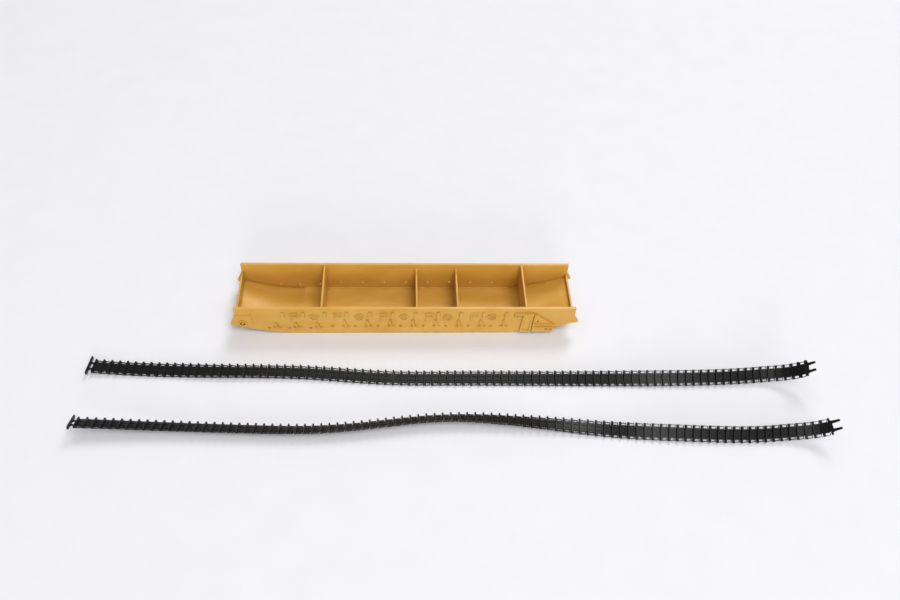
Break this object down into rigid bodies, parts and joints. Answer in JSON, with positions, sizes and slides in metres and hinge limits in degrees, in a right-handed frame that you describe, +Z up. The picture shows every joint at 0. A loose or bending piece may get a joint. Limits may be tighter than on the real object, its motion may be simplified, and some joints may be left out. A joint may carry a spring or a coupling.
{
  "type": "scale model tracked hull tub with tracks",
  "caption": "Open lower hull tub of a long tracked vehicle model, with bulkheads and suspension mounts, beside its two flexible link tracks.",
  "frame": {"origin": "centre of the hull's flat underside", "axes": "+X along the hull to its final-drive end, +Y to the hull's left side, away from the tracks, +Z up"},
  "size_m": [0.3196, 0.0912, 0.017],
  "materials": {
    "hull_styrene": "satin",
    "track_vinyl": "satin"
  },
  "bodies": {
    "hull": {"floor_pan": "hull_styrene", "idler_end_plate": "hull_styrene", "drive_end_plate": "hull_styrene", "bulkhead_1": "hull_styrene", "bulkhead_2": "hull_styrene", "bulkhead_3": "hull_styrene", "bulkhead_4": "hull_styrene", "right_side_plate": "hull_styrene", "right_idler_boss": "hull_styrene", "right_final_drive": "hull_styrene", "right_damper_mounts": "hull_styrene", "right_arm_stops": "hull_styrene", "left_side_plate": "hull_styrene", "left_idler_boss": "hull_styrene", "left_final_drive": "hull_styrene", "left_damper_mounts": "hull_styrene", "left_arm_stops": "hull_styrene"},
    "track_a_run_01": {"track_a_run_01": "track_vinyl"},
    "track_a_run_02": {"track_a_run_02": "track_vinyl"},
    "track_a_run_03": {"track_a_run_03": "track_vinyl"},
    "track_a_run_04": {"track_a_run_04": "track_vinyl"},
    "track_a_run_05": {"track_a_run_05": "track_vinyl"},
    "track_a_run_06": {"track_a_run_06": "track_vinyl"},
    "track_a_run_07": {"track_a_run_07": "track_vinyl"},
    "track_a_run_08": {"track_a_run_08": "track_vinyl"},
    "track_a_run_09": {"track_a_run_09": "track_vinyl"},
    "track_a_run_10": {"track_a_run_10": "track_vinyl"},
    "track_a_run_11": {"track_a_run_11": "track_vinyl"},
    "track_a_run_12": {"track_a_run_12": "track_vinyl"},
    "track_a_run_13": {"track_a_run_13": "track_vinyl"},
    "track_a_run_14": {"track_a_run_14": "track_vinyl"},
    "track_a_run_15": {"track_a_run_15": "track_vinyl"},
    "track_a_run_16": {"track_a_run_16": "track_vinyl"},
    "track_a_run_17": {"track_a_run_17": "track_vinyl"},
    "track_a_run_18": {"track_a_run_18": "track_vinyl"},
    "track_a_run_19": {"track_a_run_19": "track_vinyl"},
    "track_b_run_01": {"track_b_run_01": "track_vinyl"},
    "track_b_run_02": {"track_b_run_02": "track_vinyl"},
    "track_b_run_03": {"track_b_run_03": "track_vinyl"},
    "track_b_run_04": {"track_b_run_04": "track_vinyl"},
    "track_b_run_05": {"track_b_run_05": "track_vinyl"},
    "track_b_run_06": {"track_b_run_06": "track_vinyl"},
    "track_b_run_07": {"track_b_run_07": "track_vinyl"},
    "track_b_run_08": {"track_b_run_08": "track_vinyl"},
    "track_b_run_09": {"track_b_run_09": "track_vinyl"},
    "track_b_run_10": {"track_b_run_10": "track_vinyl"},
    "track_b_run_11": {"track_b_run_11": "track_vinyl"},
    "track_b_run_12": {"track_b_run_12": "track_vinyl"},
    "track_b_run_13": {"track_b_run_13": "track_vinyl"},
    "track_b_run_14": {"track_b_run_14": "track_vinyl"},
    "track_b_run_15": {"track_b_run_15": "track_vinyl"},
    "track_b_run_16": {"track_b_run_16": "track_vinyl"},
    "track_b_run_17": {"track_b_run_17": "track_vinyl"},
    "track_b_run_18": {"track_b_run_18": "track_vinyl"},
    "track_b_run_19": {"track_b_run_19": "track_vinyl"}
  },
  "joints": [
    {"name": "track_a_lift", "type": "slide", "parent": "hull", "child": "track_a_run_10", "axis": [0, 0, 1], "range_m": [0, 0.06]},
    {"name": "track_b_lift", "type": "slide", "parent": "hull", "child": "track_b_run_10", "axis": [0, 0, 1], "range_m": [0, 0.06]},
    {"name": "track_a_flex_10", "type": "hinge", "parent": "track_a_run_10", "child": "track_a_run_11", "pos_m": [0.03446, -0.04063, 0.00095], "axis": [-0.0128, -0.9929, -0.1186], "range_deg": [-15, 15], "stiffness_Nm_per_rad": 0.0003},
    {"name": "track_a_flex_11", "type": "hinge", "parent": "track_a_run_11", "child": "track_a_run_12", "pos_m": [0.05156, -0.0409, 0.00104], "axis": [-0.0159, -0.9895, -0.144], "range_deg": [-15, 15], "stiffness_Nm_per_rad": 0.0003},
    {"name": "track_a_flex_12", "type": "hinge", "parent": "track_a_run_12", "child": "track_a_run_13", "pos_m": [0.06866, -0.04119, 0.00117], "axis": [-0.0122, -0.9791, -0.2032], "range_deg": [-15, 15], "stiffness_Nm_per_rad": 0.0003},
    {"name": "track_a_flex_13", "type": "hinge", "parent": "track_a_run_13", "child": "track_a_run_14", "pos_m": [0.08575, -0.0415, 0.00147], "axis": [-0.0097, -0.9558, -0.2938], "range_deg": [-15, 15], "stiffness_Nm_per_rad": 0.0003},
    {"name": "track_a_flex_14", "type": "hinge", "parent": "track_a_run_14", "child": "track_a_run_15", "pos_m": [0.10282, -0.04192, 0.00213], "axis": [-0.0011, -0.9041, -0.4273], "range_deg": [-15, 15], "stiffness_Nm_per_rad": 0.0003},
    {"name": "track_a_flex_15", "type": "hinge", "parent": "track_a_run_15", "child": "track_a_run_16", "pos_m": [0.11991, -0.04228, 0.00284], "axis": [0.0135, -0.7992, -0.6009], "range_deg": [-15, 15], "stiffness_Nm_per_rad": 0.0003},
    {"name": "track_a_flex_16", "type": "hinge", "parent": "track_a_run_16", "child": "track_a_run_17", "pos_m": [0.13702, -0.04208, 0.00307], "axis": [0.0321, -0.7376, -0.6744], "range_deg": [-15, 15], "stiffness_Nm_per_rad": 0.0003},
    {"name": "track_a_flex_17", "type": "hinge", "parent": "track_a_run_17", "child": "track_a_run_18", "pos_m": [0.15409, -0.0413, 0.00342], "axis": [0.0721, -0.7293, -0.6804], "range_deg": [-15, 15], "stiffness_Nm_per_rad": 0.0003},
    {"name": "track_a_flex_18", "type": "hinge", "parent": "track_a_run_18", "child": "track_a_run_19", "pos_m": [0.1701, -0.04258, 0.00754], "axis": [0.0741, -0.8947, -0.4405], "range_deg": [-15, 5], "stiffness_Nm_per_rad": 0.0003},
    {"name": "track_a_flex_09", "type": "hinge", "parent": "track_a_run_10", "child": "track_a_run_09", "pos_m": [0.01737, -0.04049, 0.00085], "axis": [0.004, 0.996, 0.0894], "range_deg": [-15, 15], "stiffness_Nm_per_rad": 0.0003},
    {"name": "track_a_flex_08", "type": "hinge", "parent": "track_a_run_09", "child": "track_a_run_08", "pos_m": [0.00027, -0.04025, 0.00074], "axis": [0.0234, 0.9982, 0.0554], "range_deg": [-15, 15], "stiffness_Nm_per_rad": 0.0003},
    {"name": "track_a_flex_07", "type": "hinge", "parent": "track_a_run_08", "child": "track_a_run_07", "pos_m": [-0.0168, -0.03932, 0.00069], "axis": [0.0761, 0.9969, 0.0213], "range_deg": [-15, 15], "stiffness_Nm_per_rad": 0.0003},
    {"name": "track_a_flex_06", "type": "hinge", "parent": "track_a_run_07", "child": "track_a_run_06", "pos_m": [-0.03383, -0.0378, 0.00076], "axis": [0.0878, 0.9961, -0.0126], "range_deg": [-15, 15], "stiffness_Nm_per_rad": 0.0003},
    {"name": "track_a_flex_05", "type": "hinge", "parent": "track_a_run_06", "child": "track_a_run_05", "pos_m": [-0.05089, -0.03674, 0.00101], "axis": [0.0363, 0.9982, -0.0486], "range_deg": [-15, 15], "stiffness_Nm_per_rad": 0.0003},
    {"name": "track_a_flex_04", "type": "hinge", "parent": "track_a_run_05", "child": "track_a_run_04", "pos_m": [-0.06799, -0.03646, 0.00128], "axis": [0.008, 0.9961, -0.0883], "range_deg": [-15, 15], "stiffness_Nm_per_rad": 0.0003},
    {"name": "track_a_flex_03", "type": "hinge", "parent": "track_a_run_04", "child": "track_a_run_03", "pos_m": [-0.08509, -0.03612, 0.00118], "axis": [0.0314, 0.9971, -0.0694], "range_deg": [-15, 15], "stiffness_Nm_per_rad": 0.0003},
    {"name": "track_a_flex_02", "type": "hinge", "parent": "track_a_run_03", "child": "track_a_run_02", "pos_m": [-0.10218, -0.03543, 0.00084], "axis": [0.0471, 0.9988, -0.0099], "range_deg": [-15, 15], "stiffness_Nm_per_rad": 0.0003},
    {"name": "track_a_flex_01", "type": "hinge", "parent": "track_a_run_02", "child": "track_a_run_01", "pos_m": [-0.11924, -0.03454, 0.00082], "axis": [0.054, 0.9974, -0.0476], "range_deg": [-15, 15], "stiffness_Nm_per_rad": 0.0003},
    {"name": "track_b_flex_10", "type": "hinge", "parent": "track_b_run_10", "child": "track_b_run_11", "pos_m": [0.03532, -0.06255, 0.00237], "axis": [0.0484, 0.8933, -0.4469], "range_deg": [-15, 15], "stiffness_Nm_per_rad": 0.0003},
    {"name": "track_b_flex_11", "type": "hinge", "parent": "track_b_run_11", "child": "track_b_run_12", "pos_m": [0.05236, -0.06392, 0.00179], "axis": [0.0706, 0.9493, -0.3065], "range_deg": [-15, 15], "stiffness_Nm_per_rad": 0.0003},
    {"name": "track_b_flex_12", "type": "hinge", "parent": "track_b_run_12", "child": "track_b_run_13", "pos_m": [0.06936, -0.06564, 0.00117], "axis": [0.108, 0.9903, -0.0872], "range_deg": [-15, 15], "stiffness_Nm_per_rad": 0.0003},
    {"name": "track_b_flex_13", "type": "hinge", "parent": "track_b_run_13", "child": "track_b_run_14", "pos_m": [0.08632, -0.06765, 0.00116], "axis": [0.1021, 0.9775, 0.1843], "range_deg": [-15, 15], "stiffness_Nm_per_rad": 0.0003},
    {"name": "track_b_flex_14", "type": "hinge", "parent": "track_b_run_14", "child": "track_b_run_15", "pos_m": [0.10328, -0.06949, 0.00211], "axis": [0.0474, 0.8829, 0.4671], "range_deg": [-15, 15], "stiffness_Nm_per_rad": 0.0003},
    {"name": "track_b_flex_15", "type": "hinge", "parent": "track_b_run_15", "child": "track_b_run_16", "pos_m": [0.12032, -0.0709, 0.00293], "axis": [0.036, 0.7666, 0.6412], "range_deg": [-15, 15], "stiffness_Nm_per_rad": 0.0003},
    {"name": "track_b_flex_16", "type": "hinge", "parent": "track_b_run_16", "child": "track_b_run_17", "pos_m": [0.13741, -0.0717, 0.00301], "axis": [0.014, 0.6971, 0.7169], "range_deg": [-15, 15], "stiffness_Nm_per_rad": 0.0003},
    {"name": "track_b_flex_17", "type": "hinge", "parent": "track_b_run_17", "child": "track_b_run_18", "pos_m": [0.15451, -0.0715, 0.0032], "axis": [-0.0723, 0.6968, 0.7136], "range_deg": [-15, 15], "stiffness_Nm_per_rad": 0.0003},
    {"name": "track_b_flex_18", "type": "hinge", "parent": "track_b_run_18", "child": "track_b_run_19", "pos_m": [0.17125, -0.07149, 0.00559], "axis": [-0.1223, 0.8715, 0.4749], "range_deg": [-5, 15], "stiffness_Nm_per_rad": 0.0003},
    {"name": "track_b_flex_09", "type": "hinge", "parent": "track_b_run_10", "child": "track_b_run_09", "pos_m": [0.01822, -0.06204, 0.00263], "axis": [0.0112, -0.8403, 0.542], "range_deg": [-15, 15], "stiffness_Nm_per_rad": 0.0003},
    {"name": "track_b_flex_08", "type": "hinge", "parent": "track_b_run_09", "child": "track_b_run_08", "pos_m": [0.00115, -0.06326, 0.00268], "axis": [0.0879, -0.8244, 0.5592], "range_deg": [-15, 15], "stiffness_Nm_per_rad": 0.0003},
    {"name": "track_b_flex_07", "type": "hinge", "parent": "track_b_run_08", "child": "track_b_run_07", "pos_m": [-0.01583, -0.06535, 0.00263], "axis": [0.0984, -0.8277, 0.5524], "range_deg": [-15, 15], "stiffness_Nm_per_rad": 0.0003},
    {"name": "track_b_flex_06", "type": "hinge", "parent": "track_b_run_07", "child": "track_b_run_06", "pos_m": [-0.03284, -0.06693, 0.00256], "axis": [0.0531, -0.8448, 0.5325], "range_deg": [-15, 15], "stiffness_Nm_per_rad": 0.0003},
    {"name": "track_b_flex_05", "type": "hinge", "parent": "track_b_run_06", "child": "track_b_run_05", "pos_m": [-0.04992, -0.06717, 0.00249], "axis": [-0.0148, -0.8525, 0.5225], "range_deg": [-15, 15], "stiffness_Nm_per_rad": 0.0003},
    {"name": "track_b_flex_04", "type": "hinge", "parent": "track_b_run_05", "child": "track_b_run_04", "pos_m": [-0.06701, -0.06656, 0.00246], "axis": [-0.0366, -0.8569, 0.5142], "range_deg": [-15, 15], "stiffness_Nm_per_rad": 0.0003},
    {"name": "track_b_flex_03", "type": "hinge", "parent": "track_b_run_04", "child": "track_b_run_03", "pos_m": [-0.08409, -0.06585, 0.00254], "axis": [-0.0302, -0.8615, 0.5068], "range_deg": [-15, 15], "stiffness_Nm_per_rad": 0.0003},
    {"name": "track_b_flex_02", "type": "hinge", "parent": "track_b_run_03", "child": "track_b_run_02", "pos_m": [-0.10117, -0.06521, 0.0029], "axis": [-0.0154, -0.8666, 0.4988], "range_deg": [-15, 15], "stiffness_Nm_per_rad": 0.0003},
    {"name": "track_b_flex_01", "type": "hinge", "parent": "track_b_run_02", "child": "track_b_run_01", "pos_m": [-0.11824, -0.06476, 0.00369], "axis": [0.012, -0.8753, 0.4835], "range_deg": [-15, 15], "stiffness_Nm_per_rad": 0.0003}
  ]
}
